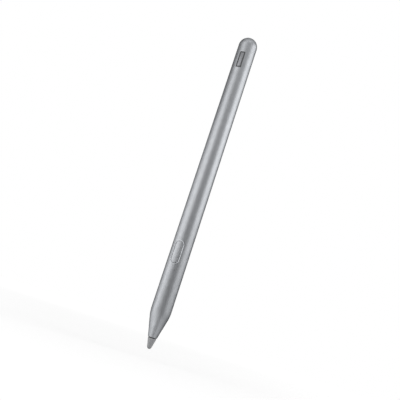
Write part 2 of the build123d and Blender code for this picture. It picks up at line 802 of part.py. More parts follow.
with BuildPart() as battery_foam:
    with BuildSketch(Plane.XY.offset(cell_back_z)):
        with Locations((0, -cell_axis)):
            Circle(cell_radius - cell_end_margin)
    extrude(amount=foam_length)
battery_foam.part.label = "battery_foam"
export_step(battery_foam.part, "parts/battery_foam.step")

with BuildPart() as battery_leads:
    for x in lead_offsets:
        low, high = board_back_z - lead_landing, cell_bay_front_z
        bar(lead_width, board_face, board_face + lead_thickness, low, high, x)
battery_leads.part.label = "battery_leads"
export_step(battery_leads.part, "parts/battery_leads.step")

# Aerial in the end cap, and its thin coaxial lead along the cell
with BuildPart() as antenna_board:
    low, high = chassis_back_z - antenna_landing, rear_z + antenna_reach
    bar(antenna_width, cell_axis, antenna_front, low, high)
antenna_board.part.label = "antenna_board"
export_step(antenna_board.part, "parts/antenna_board.step")

with BuildPart() as antenna_lead:
    with BuildSketch(Plane.XY.offset(coax_front_z)):
        with Locations((coax_x, -coax_axis)):
            Circle(coax_radius)
    extrude(amount=chassis_back_z - coax_end_gap - coax_front_z)
antenna_lead.part.label = "antenna_lead"
export_step(antenna_lead.part, "parts/antenna_lead.step")
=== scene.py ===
import math
import bmesh
import bpy
from mathutils import Matrix, Vector


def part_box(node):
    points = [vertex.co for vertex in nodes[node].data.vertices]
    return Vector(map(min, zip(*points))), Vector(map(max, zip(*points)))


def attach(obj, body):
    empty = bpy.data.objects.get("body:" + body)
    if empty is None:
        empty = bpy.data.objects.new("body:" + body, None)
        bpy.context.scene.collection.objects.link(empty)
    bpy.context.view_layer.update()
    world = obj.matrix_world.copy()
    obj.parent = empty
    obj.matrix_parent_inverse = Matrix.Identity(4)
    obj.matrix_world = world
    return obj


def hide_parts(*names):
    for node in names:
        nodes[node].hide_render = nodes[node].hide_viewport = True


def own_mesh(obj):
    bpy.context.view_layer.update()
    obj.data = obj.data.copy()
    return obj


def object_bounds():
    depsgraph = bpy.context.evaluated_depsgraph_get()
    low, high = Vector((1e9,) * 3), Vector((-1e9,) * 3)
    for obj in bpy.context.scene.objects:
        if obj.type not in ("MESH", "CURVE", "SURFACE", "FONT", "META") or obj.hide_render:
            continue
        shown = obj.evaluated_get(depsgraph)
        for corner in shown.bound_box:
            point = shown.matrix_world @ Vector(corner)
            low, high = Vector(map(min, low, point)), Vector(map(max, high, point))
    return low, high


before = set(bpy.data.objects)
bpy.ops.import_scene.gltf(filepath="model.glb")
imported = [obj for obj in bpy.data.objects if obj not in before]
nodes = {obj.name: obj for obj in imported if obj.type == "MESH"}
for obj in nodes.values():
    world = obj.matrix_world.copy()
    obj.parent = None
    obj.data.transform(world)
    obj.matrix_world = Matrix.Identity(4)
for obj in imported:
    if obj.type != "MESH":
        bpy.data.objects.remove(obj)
cadLow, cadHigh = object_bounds()
scene = bpy.context.scene
mm = 0.001  # lengths below are in mm, Blender's are in metres
white = (1, 1, 1, 1)


# Small helpers for shader trees

def colour(red, green, blue):  # levels as a picture editor shows them, 0 to 255
    shares = [level / 255 for level in (red, green, blue)]
    # the usual screen curve, taken back to linear light
    linear = [s / 12.92 if s <= 0.04045 else ((s + 0.055) / 1.055) ** 2.4 for s in shares]
    return (*linear, 1)


def addNode(tree, kind, inputs, **settings):  # an input that is a socket gets linked
    made = tree.nodes.new("ShaderNode" + kind)
    for name, value in settings.items():
        setattr(made, name, value)
    for name, value in inputs.items():
        if isinstance(value, bpy.types.NodeSocket):
            tree.links.new(value, made.inputs[name])
        else:
            made.inputs[name].default_value = value
    return made


def compute(tree, operation, first, second=0.0):
    return addNode(tree, "Math", {0: first, 1: second}, operation=operation).outputs[0]


def ease(tree, value, start, end, low=0.0, high=1.0):  # start to end becomes low to high
    wanted = {"Value": value, "From Min": start, "From Max": end, "To Min": low, "To Max": high}
    return addNode(tree, "MapRange", wanted).outputs["Result"]


def mixColours(tree, share, first, second):
    mixed = addNode(tree, "Mix", {0: share, 6: first, 7: second}, data_type="RGBA")
    return mixed.outputs[2]


def mixValues(tree, share, first, second):
    return addNode(tree, "Mix", {0: share, 2: first, 3: second}).outputs[0]


noiseLook = {"detail": 2.0, "spread": (0.3, 0.7)}  # the spread is where most of the values lie


def noise(tree, place, size):  # soft random spots of about that size in mm
    wanted = {"Vector": place, "Scale": 1 / (size * mm), "Detail": noiseLook["detail"]}
    return ease(tree, addNode(tree, "TexNoise", wanted).outputs["Fac"], *noiseLook["spread"])


def cells(tree, place, size, output, **settings):  # close-packed cells of about that size in mm
    wanted = {"Vector": place, "Scale": 1 / (size * mm)}
    return addNode(tree, "TexVoronoi", wanted, **settings).outputs[output]


def alongAxis(tree, place, axis):
    return addNode(tree, "SeparateXYZ", {"Vector": place}).outputs[axis]


def bands(tree, value, pitch):  # smooth lines that repeat every pitch mm
    turns = compute(tree, "MULTIPLY", value, 2 * math.pi / (pitch * mm))
    return ease(tree, compute(tree, "SINE", turns), -1, 1)


def within(tree, value, middle, reach):  # 1 where the value is near the middle, both in metres
    away = compute(tree, "ABSOLUTE", compute(tree, "SUBTRACT", value, middle))
    return compute(tree, "LESS_THAN", away, reach)


def makeFinish(name, look, marks=None):  # marks gives the share of a second finish
    finish = bpy.data.materials.new(name)
    finish.use_nodes = True
    tree = finish.node_tree
    shader = tree.nodes["Principled BSDF"]
    place = addNode(tree, "TexCoord", {}).outputs["Object"]
    wanted = {"Vector": place, "Scale": look.get("stretch", (1, 1, 1))}
    stretched = addNode(tree, "Mapping", wanted).outputs["Vector"]
    grain = noise(tree, stretched, look["grain"])
    tone = mixColours(tree, noise(tree, stretched, look["cloud"]), look["dark"], look["light"])
    rough = ease(tree, grain, 0, 1, *look["rough"])
    height = compute(tree, "MULTIPLY", grain, look["depth"] * mm)
    if marks:
        share = marks(tree, place, look)
        tone = mixColours(tree, share, tone, look["markColour"])
        rough = mixValues(tree, share, rough, look["markRough"])
        if "markDepth" in look:
            raised = compute(tree, "MULTIPLY", share, look["markDepth"] * mm)
            height = compute(tree, "ADD", height, raised)
        if "markMetal" in look:
            metal = mixValues(tree, share, look["metal"], look["markMetal"])
            tree.links.new(metal, shader.inputs["Metallic"])
    bump = addNode(tree, "Bump", {"Height": height, "Distance": 1.0})
    tree.links.new(tone, shader.inputs["Base Color"])
    tree.links.new(rough, shader.inputs["Roughness"])
    tree.links.new(bump.outputs["Normal"], shader.inputs["Normal"])
    if "markMetal" not in look:
        shader.inputs["Metallic"].default_value = look["metal"]
    for socket, value in look.get("sockets", {}).items():
        shader.inputs[socket].default_value = value
    return finish


# Finishes that show from outside

barrelMetal = {  # bead-blasted metal, with a smoother cut bevel round the button
    "dark": colour(149, 151, 154), "light": colour(155, 157, 160), "cloud": 2.5,
    "grain": 0.09, "rough": (0.39, 0.45), "depth": 0.0012, "metal": 1,
    "sockets": {"Specular Tint": (0.25, 0.25, 0.25, 1)},
    "slotLength": 10.64, "slotRadius": 1.87, "bevelWidth": 0.27,
    "markColour": colour(178, 180, 184), "markRough": 0.36,
}


def slotBevel(tree, place, look):  # a ring round the slot, on the front side only
    low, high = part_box("button")
    straight = (look["slotLength"] / 2 - look["slotRadius"]) * mm
    x, y, z = (alongAxis(tree, place, axis) for axis in "XYZ")
    along = compute(tree, "ABSOLUTE", compute(tree, "SUBTRACT", z, (low.z + high.z) / 2))
    beyond = compute(tree, "MAXIMUM", compute(tree, "SUBTRACT", along, straight), 0.0)
    across = compute(tree, "ABSOLUTE", x)
    squares = [compute(tree, "POWER", value, 2.0) for value in (beyond, across)]
    outwards = compute(tree, "SQRT", compute(tree, "ADD", *squares))
    half = look["bevelWidth"] / 2
    near = within(tree, outwards, (look["slotRadius"] + half) * mm, half * mm)
    return compute(tree, "MULTIPLY", near, compute(tree, "LESS_THAN", y, 0.0))


capPaint = {  # metallic paint over plastic, so that the aerial works
    "dark": colour(149, 151, 154), "light": colour(155, 157, 160), "cloud": 2.5,
    "grain": 0.07, "rough": (0.39, 0.45), "depth": 0.001, "metal": 1,
    "sockets": {"Specular Tint": (0.25, 0.25, 0.25, 1)},
    "flake": 0.04, "flakeShare": 0.12, "markColour": colour(164, 166, 170), "markRough": 0.34,
}


def paintFlakes(tree, place, look):  # the lightest few of the cells
    level = cells(tree, place, look["flake"], "Color")
    return compute(tree, "GREATER_THAN", level, 1 - look["flakeShare"])


badgeMetal = {  # brushed along the pen
    "dark": colour(120, 121, 124), "light": colour(132, 133, 136), "cloud": 0.4,
    "stretch": (1, 1, 0.04), "grain": 0.05, "rough": (0.36, 0.48), "depth": 0.002, "metal": 1,
}
groovePaintedShade = {  # painted shade: matt and dark, round the panel, standing in for the shadow in the groove
    "dark": colour(68, 69, 71), "light": colour(80, 81, 83), "cloud": 0.5,
    "grain": 0.06, "rough": (0.55, 0.68), "depth": 0.002, "metal": 0,
}

nibPlastic = {  # matt, and rubbed smoother at the point
    "dark": colour(145, 146, 148), "light": colour(155, 156, 158), "cloud": 0.8,
    "grain": 0.06, "rough": (0.5, 0.62), "depth": 0.003, "metal": 0,
    "wornLength": 0.9, "markColour": colour(139, 140, 142), "markRough": 0.4,
}


def rubbedPoint(tree, place, look):
    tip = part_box("nib")[0].z
    height = alongAxis(tree, place, "Z")
    near = ease(tree, height, tip, tip + look["wornLength"] * mm, 1, 0)
    return compute(tree, "MULTIPLY", near, noise(tree, place, look["grain"]))


blackRubber = {
    "dark": colour(22, 22, 23), "light": colour(34, 34, 35), "cloud": 0.4,
    "grain": 0.05, "rough": (0.62, 0.78), "depth": 0.004, "metal": 0,
}


# Finishes of the pieces inside

paleSilicone = {
    "dark": colour(205, 205, 200), "light": colour(222, 222, 217), "cloud": 0.6,
    "grain": 0.05, "rough": (0.42, 0.55), "depth": 0.002, "metal": 0,
    "sockets": {"Subsurface Weight": 0.3, "Subsurface Scale": 0.0004},
}
brass = {
    "dark": colour(186, 148, 82), "light": colour(204, 168, 98), "cloud": 0.5,
    "grain": 0.05, "rough": (0.24, 0.34), "depth": 0.001, "metal": 1,
    "pitch": 0.08, "markColour": colour(172, 134, 72), "markRough": 0.38, "markDepth": 0.004,
}
springSteel = {
    "dark": colour(168, 169, 171), "light": colour(186, 187, 189), "cloud": 0.5,
    "grain": 0.03, "rough": (0.2, 0.32), "depth": 0.001, "metal": 1,
    "pitch": 0.06, "markColour": colour(150, 151, 153), "markRough": 0.34, "markDepth": 0.002,
}


def turnedRings(tree, place, look):  # fine tool marks round the axis
    return bands(tree, alongAxis(tree, place, "Z"), look["pitch"])


blackPlastic = {
    "dark": colour(30, 31, 33), "light": colour(42, 43, 45), "cloud": 1.2,
    "grain": 0.08, "rough": (0.45, 0.6), "depth": 0.006, "metal": 0,
}
boardGreen = {
    "dark": colour(22, 78, 50), "light": colour(30, 92, 60), "cloud": 2.0,
    "grain": 0.15, "rough": (0.3, 0.42), "depth": 0.002, "metal": 0,
    "pitch": 0.9, "trackWidth": 0.09,
    "markColour": colour(48, 122, 80), "markRough": 0.28, "markDepth": 0.02,
}


def boardTracks(tree, place, look):  # copper tracks under the lacquer
    edge = cells(tree, place, look["pitch"], "Distance", feature="DISTANCE_TO_EDGE")
    return compute(tree, "LESS_THAN", edge, look["trackWidth"] / look["pitch"])


chipBlack = {
    "dark": colour(26, 26, 28), "light": colour(36, 36, 38), "cloud": 0.3,
    "grain": 0.06, "rough": (0.5, 0.66), "depth": 0.005, "metal": 0,
    "speck": 0.07, "speckShare": 0.06, "markColour": colour(74, 74, 77), "markRough": 0.45,
}


def compoundSpecks(tree, place, look):  # pale filler grains in the moulding
    level = cells(tree, place, look["speck"], "Color")
    return compute(tree, "GREATER_THAN", level, 1 - look["speckShare"])


tinnedMetal = {
    "dark": colour(176, 178, 180), "light": colour(196, 198, 200), "cloud": 0.7,
    "grain": 0.12, "rough": (0.3, 0.44), "depth": 0.003, "metal": 1,
    "crystal": 0.5, "frost": 0.7, "markColour": colour(188, 190, 193), "markRough": 0.3,
}


def tinCrystals(tree, place, look):  # faint frost of the tin plating
    return compute(tree, "MULTIPLY", cells(tree, place, look["crystal"], "Color"), look["frost"])


ceramicTan = {
    "dark": colour(150, 120, 88), "light": colour(166, 136, 102), "cloud": 0.3,
    "grain": 0.06, "rough": (0.36, 0.5), "depth": 0.003, "metal": 0,
    "length": 1.0, "pitch": 1.8, "endLength": 0.24,
    "markColour": colour(190, 192, 194), "markRough": 0.3, "markMetal": 1,
}


def solderedEnds(tree, place, look):  # tinned ends of each small capacitor
    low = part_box("board_capacitors")[0]
    fromFirst = compute(tree, "SUBTRACT", alongAxis(tree, place, "Z"), low.z)
    inPitch = compute(tree, "MODULO", fromFirst, look["pitch"] * mm)
    half = look["length"] / 2
    body = within(tree, inPitch, half * mm, (half - look["endLength"]) * mm)
    return compute(tree, "SUBTRACT", 1.0, body)


copper = {
    "dark": colour(176, 104, 66), "light": colour(196, 122, 80), "cloud": 0.8,
    "grain": 0.06, "rough": (0.28, 0.4), "depth": 0.002, "metal": 1,
    "pitch": 0.16, "markColour": colour(96, 48, 28), "markRough": 0.5, "markDepth": -0.03,
}


def coilTurns(tree, place, look):  # flat turns that run round the coil's middle
    low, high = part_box("charging_coil")
    straight = ((high.z - low.z) - (high.x - low.x)) / 2
    fromMiddle = compute(tree, "SUBTRACT", alongAxis(tree, place, "Z"), (low.z + high.z) / 2)
    beyond = compute(tree, "SUBTRACT", compute(tree, "ABSOLUTE", fromMiddle), straight)
    across = compute(tree, "ABSOLUTE", alongAxis(tree, place, "X"))
    return bands(tree, compute(tree, "MAXIMUM", across, beyond), look["pitch"])


ferrite = {
    "dark": colour(46, 46, 48), "light": colour(62, 62, 64), "cloud": 0.25,
    "grain": 0.07, "rough": (0.55, 0.7), "depth": 0.006, "metal": 0,
}
magnetPlate = {
    "dark": colour(172, 170, 164), "light": colour(188, 186, 180), "cloud": 1.5,
    "grain": 0.12, "rough": (0.16, 0.28), "depth": 0.002, "metal": 1,
}
cellCan = {  # drawn can with a rolled ring near its closed end
    "dark": colour(166, 168, 172), "light": colour(184, 186, 190), "cloud": 0.6,
    "stretch": (1, 1, 0.05), "grain": 0.08, "rough": (0.28, 0.4), "depth": 0.002, "metal": 1,
    "ringDrop": 1.8, "ringWidth": 0.35,
    "markColour": colour(122, 124, 128), "markRough": 0.42, "markDepth": -0.05,
}


def rolledRing(tree, place, look):
    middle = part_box("battery")[1].z - look["ringDrop"] * mm
    return within(tree, alongAxis(tree, place, "Z"), middle, look["ringWidth"] * mm)


foam = {
    "dark": colour(48, 48, 50), "light": colour(66, 66, 68), "cloud": 0.4,
    "grain": 0.08, "rough": (0.8, 0.95), "depth": 0.01, "metal": 0,
    "pore": 0.14, "poreShare": 0.32,
    "markColour": colour(20, 20, 21), "markRough": 1, "markDepth": -0.05,
}


def openPores(tree, place, look):
    return compute(tree, "LESS_THAN", cells(tree, place, look["pore"], "Distance"), look["poreShare"])


ribbonAmber = {
    "dark": colour(176, 104, 34), "light": colour(190, 118, 44), "cloud": 0.6,
    "grain": 0.1, "rough": (0.26, 0.36), "depth": 0.002, "metal": 0,
    "pitch": 0.32, "markColour": colour(206, 142, 70), "markRough": 0.24, "markDepth": 0.008,
}


def ribbonTracks(tree, place, look):
    return bands(tree, alongAxis(tree, place, "X"), look["pitch"])


finishes = {
    "barrel_metal": makeFinish("barrelMetal", barrelMetal, slotBevel),
    "cap_paint": makeFinish("capPaint", capPaint, paintFlakes),
    "badge_metal": makeFinish("badgeMetal", badgeMetal),
    "nib_plastic": makeFinish("nibPlastic", nibPlastic, rubbedPoint),
    "black_rubber": makeFinish("blackRubber", blackRubber),
    "pale_silicone": makeFinish("paleSilicone", paleSilicone),
    "brass": makeFinish("brass", brass, turnedRings),
    "spring_steel": makeFinish("springSteel", springSteel, turnedRings),
    "black_plastic": makeFinish("blackPlastic", blackPlastic),
    "board_green": makeFinish("boardGreen", boardGreen, boardTracks),
    "chip_black": makeFinish("chipBlack", chipBlack, compoundSpecks),
    "tinned_metal": makeFinish("tinnedMetal", tinnedMetal, tinCrystals),
    "ceramic_tan": makeFinish("ceramicTan", ceramicTan, solderedEnds),
    "copper": makeFinish("copper", copper),
    "ferrite": makeFinish("ferrite", ferrite),
    "magnet_plate": makeFinish("magnetPlate", magnetPlate),
    "cell_can": makeFinish("cellCan", cellCan, rolledRing),
    "foam": makeFinish("foam", foam, openPores),
    "ribbon_amber": makeFinish("ribbonAmber", ribbonAmber, ribbonTracks),
}
for node in nodes.values():
    slotName = node.data.materials[0].name
    node.material_slots[0].material = finishes[slotName]
nodes["charging_coil"].material_slots[0].material = makeFinish("woundCopper", copper, coilTurns)
print("finishes made:", len(finishes))


# Helpers for modelled pieces

sharpAngle = math.radians(35)
mergeDistance = 0.0002 * mm
upright = Matrix.Rotation(math.pi / 2, 3, "X")  # stands a flat shape up


def addObject(name, data):
    made = bpy.data.objects.new(name, data)
    scene.collection.objects.link(made)
    return made


def meshObject(name, shape, *paints):
    mesh = bpy.data.meshes.new(name)
    shape.to_mesh(mesh)
    shape.free()
    for paint in paints:
        mesh.materials.append(paint)
    return addObject(name, mesh)


def addPiece(name, shape, body, slotName, *paints):  # stands for the CAD node of the same piece
    made = meshObject(name + "_piece", shape, *(paints or [finishes[slotName]]))
    made.data.shade_smooth()
    made.data.set_sharp_from_angle(angle=sharpAngle)
    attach(made, body)
    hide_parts(name)
    return made


def drawOn(shape, last, *points):  # straight runs from the last vertex, points as radius and height
    corners = []
    for radius, height in points:
        last = bmesh.ops.extrude_vert_indiv(shape, verts=[last])["verts"][0]
        last.co = (radius, 0, height)
        corners.append(last)
    return corners


def closedOutline(shape, *points):
    first = shape.verts.new((points[0][0], 0, points[0][1]))
    corners = [first] + drawOn(shape, first, *points[1:])
    shape.edges.new((corners[-1], first))
    return corners


def roundCorners(shape, corners, size, segments=4):
    bmesh.ops.bevel(
        shape, geom=corners, offset=size, offset_type="OFFSET", affect="VERTICES",
        segments=segments, profile=0.5, material=-1,
    )


def roundEdges(shape, edges, size, segments=3):
    bmesh.ops.bevel(
        shape, geom=edges, offset=size, offset_type="OFFSET", affect="EDGES",
        segments=segments, profile=0.5, material=-1, clamp_overlap=True,
    )


def cutThrough(shape, spot, across):
    everything = shape.verts[:] + shape.edges[:] + shape.faces[:]
    bmesh.ops.bisect_plane(shape, geom=everything, dist=mergeDistance, plane_co=spot, plane_no=across)


def cleanUp(shape):
    bmesh.ops.remove_doubles(shape, verts=shape.verts, dist=mergeDistance)
    bmesh.ops.recalc_face_normals(shape, faces=shape.faces)


def spinRound(shape, steps):  # the drawn outline goes once round the pen's axis
    bmesh.ops.spin(
        shape, geom=shape.verts[:] + shape.edges[:], cent=(0, 0, 0), axis=(0, 0, 1),
        angle=2 * math.pi, steps=steps, use_merge=True,
    )
    cleanUp(shape)


def frontOutline(shape, width, length, corner, segments):  # rounded face at y = 0
    made = bmesh.ops.create_grid(shape, x_segments=1, y_segments=1, size=0.5)["verts"]
    bmesh.ops.scale(shape, verts=made, vec=(width, length, 1))
    bmesh.ops.rotate(shape, verts=made, cent=(0, 0, 0), matrix=upright)
    roundCorners(shape, made, corner, segments)


# Nib: round point on a cone that carries on the nose's line

nibForm = {
    "pointRadius": 1.02, "coneAngle": 13.787, "backRadius": 1.978, "edgeRound": 0.05,
    "edgeSteps": 6, "pocketRadius": 1.844, "pocketDepth": 0.3, "socketGap": 0.02, "pointSteps": 14,
    "steps": 96,
}


def makeNib(look):
    low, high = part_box("nib")
    bushLow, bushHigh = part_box("nib_bush")
    socket = bushHigh.x + look["socketGap"] * mm
    pocket, pocketFloor = look["pocketRadius"] * mm, high.z - look["pocketDepth"] * mm
    shape = bmesh.new()
    tip = shape.verts.new((0, 0, low.z))
    arc = bmesh.ops.spin(
        shape, geom=[tip], cent=(0, 0, low.z + look["pointRadius"] * mm), axis=(0, -1, 0),
        angle=math.radians(90 - look["coneAngle"]), steps=look["pointSteps"],
    )
    arcEnd = [part for part in arc["geom_last"] if isinstance(part, bmesh.types.BMVert)][0]
    corners = drawOn(
        shape, arcEnd, (look["backRadius"] * mm, high.z), (pocket, high.z), (pocket, pocketFloor),
        (socket, pocketFloor), (socket, bushLow.z), (0, bushLow.z),
    )
    roundCorners(shape, corners[:1], look["edgeRound"] * mm, look["edgeSteps"])
    spinRound(shape, look["steps"])
    return addPiece("nib", shape, "nib", "nib_plastic")


makeNib(nibForm)


# Seal in the mouth: its lip is the dark line behind the nib

nibSealForm = {
    "lipRadius": 1.794, "lipBore": 0.95, "lipGap": 0.04, "lipRound": 0.1, "neckRadius": 1.44,
    "sink": 0.25, "frontRadius": 1.5, "eyeRadius": 0.75, "edgeRound": 0.04, "steps": 72,
}


def makeNibSeal(look):
    low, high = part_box("nib_seal")
    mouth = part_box("barrel")[0].z
    radii = "lipRadius", "lipBore", "neckRadius", "frontRadius", "eyeRadius"
    lip, bore, neck, front, eye = (look[key] * mm for key in radii)
    lipBack, bodyFront = mouth - look["lipGap"] * mm, mouth + look["sink"] * mm
    shape = bmesh.new()
    corners = closedOutline(
        shape, (lip, low.z), (lip, lipBack), (neck, lipBack), (neck, bodyFront), (front, bodyFront),
        (high.x, high.z), (eye, high.z), (eye, bodyFront), (bore, bodyFront), (bore, low.z),
    )
    roundCorners(shape, corners[:2], look["lipRound"] * mm)
    roundCorners(shape, corners[4:7], look["edgeRound"] * mm)
    spinRound(shape, look["steps"])
    return addPiece("nib_seal", shape, "pen", "black_rubber")


makeNibSeal(nibSealForm)


# Badge plate: plain raised panel inside a groove whose floor is painted dark as its shade, bent to the
# barrel's curve

badgeForm = {
    "sink": 0.04, "corner": 0.36, "groove": 0.62, "panelCorner": 0.12, "rise": 0.07, "floor": 0.09,
    "edgeRound": 0.04, "cornerSteps": 6, "columns": 14,
}


def makeBadge(look):
    low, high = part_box("badge_plate")
    width, length, border = high.x - low.x, high.z - low.z, 2 * look["groove"] * mm
    shape = bmesh.new()
    loops = []
    for less, corner in ((0, "corner"), (border, "panelCorner")):
        frontOutline(shape, width - less, length - less, look[corner] * mm, look["cornerSteps"])
        face = shape.faces[:][0]
        loops.append(face.edges[:])
        bmesh.ops.delete(shape, geom=[face], context="FACES_ONLY")
    bmesh.ops.bridge_loops(shape, edges=loops[0] + loops[1])
    for loop, depth in zip(loops, (look["floor"], -look["rise"])):
        grown = bmesh.ops.extrude_edge_only(shape, edges=loop)["geom"]
        moved = [part for part in grown if isinstance(part, bmesh.types.BMVert)]
        bmesh.ops.translate(shape, verts=moved, vec=(0, depth * mm, 0))
    rims = [edge for edge in shape.edges if edge.is_boundary]
    bmesh.ops.holes_fill(shape, edges=rims)
    roundEdges(shape, [edge for edge in rims if edge.verts[0].co.y < 0], look["edgeRound"] * mm)
    for column in range(1, look["columns"]):  # upright cuts let the plate bend
        across = (column / look["columns"] - 0.5) * width
        cutThrough(shape, (across, 0, 0), (1, 0, 0))
    cleanUp(shape)
    for face in shape.faces:  # the groove's floor is the only face left at y = 0
        face.material_index = int(all(abs(vert.co.y) < mergeDistance for vert in face.verts))
    panelRadius = cadHigh.x - look["sink"] * mm
    for vert in shape.verts:  # y, the flat plate's depth, becomes depth below the barrel's curve
        radius = panelRadius - look["rise"] * mm - vert.co.y
        vert.co.y = -math.sqrt(radius ** 2 - vert.co.x ** 2)
    bmesh.ops.translate(shape, verts=shape.verts, vec=(0, 0, (low.z + high.z) / 2))
    # the second finish paints the groove's floor dark: painted shade for the shadow in the groove
    paints = finishes["badge_metal"], makeFinish("groovePaintedShade", groovePaintedShade)
    return addPiece("badge_plate", shape, "pen", "badge_metal", *paints)


makeBadge(badgeForm)


# Spring behind the pin's collar, modelled at rest; the nib presses it in the real pen

springForm = {"wireRadius": 0.14, "wireSides": 12, "turns": 5, "stepsPerTurn": 36, "travel": 0.3}


def makeSpring(look):
    low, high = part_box("preload_spring")
    wire, steps = look["wireRadius"] * mm, look["turns"] * look["stepsPerTurn"]
    rise = high.z - low.z - 2 * wire
    shape = bmesh.new()
    bmesh.ops.create_circle(shape, cap_ends=False, radius=wire, segments=look["wireSides"])
    bmesh.ops.rotate(shape, verts=shape.verts, cent=(0, 0, 0), matrix=upright)
    bmesh.ops.translate(shape, verts=shape.verts, vec=(high.x - wire, 0, low.z + wire))
    bmesh.ops.spin(
        shape, geom=shape.verts[:] + shape.edges[:], cent=(0, 0, 0), axis=(0, 0, 1),
        dvec=(0, 0, rise / steps), angle=2 * math.pi * look["turns"], steps=steps, use_merge=False,
    )
    bmesh.ops.holes_fill(shape, edges=[edge for edge in shape.edges if edge.is_boundary])
    bmesh.ops.recalc_face_normals(shape, faces=shape.faces)
    made = addPiece("preload_spring", shape, "pen", "spring_steel")
    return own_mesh(made)


makeSpring(springForm)


# Soft pads: under the pin, under the button and behind the cell

pressurePadForm = {
    "waist": 0.05, "edgeRound": 0.12, "edgeSteps": 5, "travel": 0.3, "fill": 1.0, "steps": 48,
}
foamForm = {"waist": 0.12, "edgeRound": 0.2, "edgeSteps": 5, "fill": 0.9, "steps": 64}


def roundPad(name, look, slotName):  # a soft disc whose side swells between its two faces
    low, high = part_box(name)
    radius, middle = (high.x - low.x) / 2, (low.z + high.z) / 2
    face = radius - look["waist"] * mm
    shape = bmesh.new()
    centre = shape.verts.new((0, 0, low.z))
    corners = drawOn(shape, centre, (face, low.z), (radius, middle), (face, high.z), (0, high.z))
    roundCorners(shape, corners[:3], look["edgeRound"] * mm, look["edgeSteps"])
    spinRound(shape, look["steps"])
    away = (low.x + high.x) / 2, (low.y + high.y) / 2, 0
    bmesh.ops.translate(shape, verts=shape.verts, vec=away)
    return addPiece(name, shape, "pen", slotName)


def makePressurePad(look):
    pad = roundPad("pressure_pad", look, "pale_silicone")
    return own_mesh(pad)


buttonPadForm = {
    "cornerShare": 0.49, "cornerSteps": 12, "edgeRound": 0.1, "edgeSteps": 4, "fill": 1.0,
}


def makeButtonPad(look):
    low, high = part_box("button_pad")
    width, length, thickness = high.x - low.x, high.z - low.z, high.y - low.y
    shape = bmesh.new()
    frontOutline(shape, width, length, look["cornerShare"] * width, look["cornerSteps"])
    grown = bmesh.ops.extrude_face_region(shape, geom=shape.faces[:], use_keep_orig=True)["geom"]
    backVerts = [part for part in grown if isinstance(part, bmesh.types.BMVert)]
    rims = []
    for edge in shape.edges:  # all but the short edges between front and back
        first, second = (vert in backVerts for vert in edge.verts)
        if first == second:
            rims.append(edge)
    bmesh.ops.translate(shape, verts=backVerts, vec=(0, thickness, 0))
    cleanUp(shape)
    roundEdges(shape, rims, look["edgeRound"] * mm, look["edgeSteps"])
    cleanUp(shape)
    bmesh.ops.translate(shape, verts=shape.verts, vec=(0, low.y, (low.z + high.z) / 2))
    return addPiece("button_pad", shape, "button", "pale_silicone")


makePressurePad(pressurePadForm)
roundPad("battery_foam", foamForm, "foam")
makeButtonPad(buttonPadForm)


# Sealing ring of the end cap: a round-edged band with one flat side

capSealForm = {"wall": 0.42, "edgeRound": 0.18, "steps": 96}


def makeCapSeal(look):
    low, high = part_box("cap_seal")
    outer, inner = high.x, high.x - look["wall"] * mm
    shape = bmesh.new()
    corners = closedOutline(shape, (outer, low.z), (outer, high.z), (inner, high.z), (inner, low.z))
    roundCorners(shape, corners, look["edgeRound"] * mm)
    spinRound(shape, look["steps"])
    for vert in shape.verts:  # the side towards +Y is pressed flat
        depth = outer - vert.co.xy.length
        vert.co.y = min(vert.co.y, high.y - depth)
    return addPiece("cap_seal", shape, "pen", "black_rubber")


makeCapSeal(capSealForm)


# Floor, lights and camera

def roundThePen(azimuth, distance, height):  # azimuth 0 is in front of the button
    turn = math.radians(azimuth)
    return Vector((math.sin(turn) * distance, -math.cos(turn) * distance, height))


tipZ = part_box("nib")[0].z
studio = {  # the camera's place is from the pen's axis and its point
    "cameraAzimuth": 19.5, "cameraDistance": 263.2, "cameraRise": 11.2,
    "lookUp": 13.02, "lookRight": 0.241, "roll": 18.14, "lens": 51.26, "sensor": 36, "clipStart": 10.0,
    "floorDrop": 4.5, "floorSize": 4000.0, "floorGrey": 0.6, "floorRough": 0.9,
    "glowNear": 0.5, "glowFar": 0.75, "glowStart": 100.0, "glowReach": 900.0, "worldDiffuse": 0.5,
}


def seenRays(tree):  # rays that should meet plain white: from the camera or by reflection
    rays = addNode(tree, "LightPath", {})
    seen = compute(tree, "MAXIMUM", rays.outputs["Is Camera Ray"], rays.outputs["Is Glossy Ray"])
    return compute(tree, "MAXIMUM", seen, rays.outputs["Is Transmission Ray"])


def makeFloor(look):
    shape = bmesh.new()
    bmesh.ops.create_grid(shape, x_segments=1, y_segments=1, size=look["floorSize"] / 2 * mm)
    bmesh.ops.translate(shape, verts=shape.verts, vec=(0, 0, tipZ - look["floorDrop"] * mm))
    paint = bpy.data.materials.new("floorPaper")
    paint.use_nodes = True
    tree = paint.node_tree
    shader = tree.nodes["Principled BSDF"]
    shader.inputs["Base Color"].default_value = [look["floorGrey"]] * 3 + [1]
    shader.inputs["Roughness"].default_value = look["floorRough"]
    shader.inputs["Specular IOR Level"].default_value = 0
    shader.inputs["Emission Color"].default_value = white
    place = addNode(tree, "TexCoord", {}).outputs["Object"]
    away = addNode(tree, "VectorMath", {0: place}, operation="LENGTH").outputs["Value"]
    start, reach = look["glowStart"] * mm, look["glowReach"] * mm
    glow = ease(tree, away, start, reach, look["glowNear"], look["glowFar"])
    strength = compute(tree, "MULTIPLY", seenRays(tree), glow)
    tree.links.new(strength, shader.inputs["Emission Strength"])
    meshObject("floor", shape, paint)


def makeWorld(look):
    world = bpy.data.worlds.new("studioWorld")
    world.use_nodes = True
    scene.world = world
    tree = world.node_tree
    tree.nodes.clear()
    strength = ease(tree, seenRays(tree), 0, 1, look["worldDiffuse"], 1.0)
    background = addNode(tree, "Background", {"Color": white, "Strength": strength})
    addNode(tree, "OutputWorld", {"Surface": background.outputs[0]})


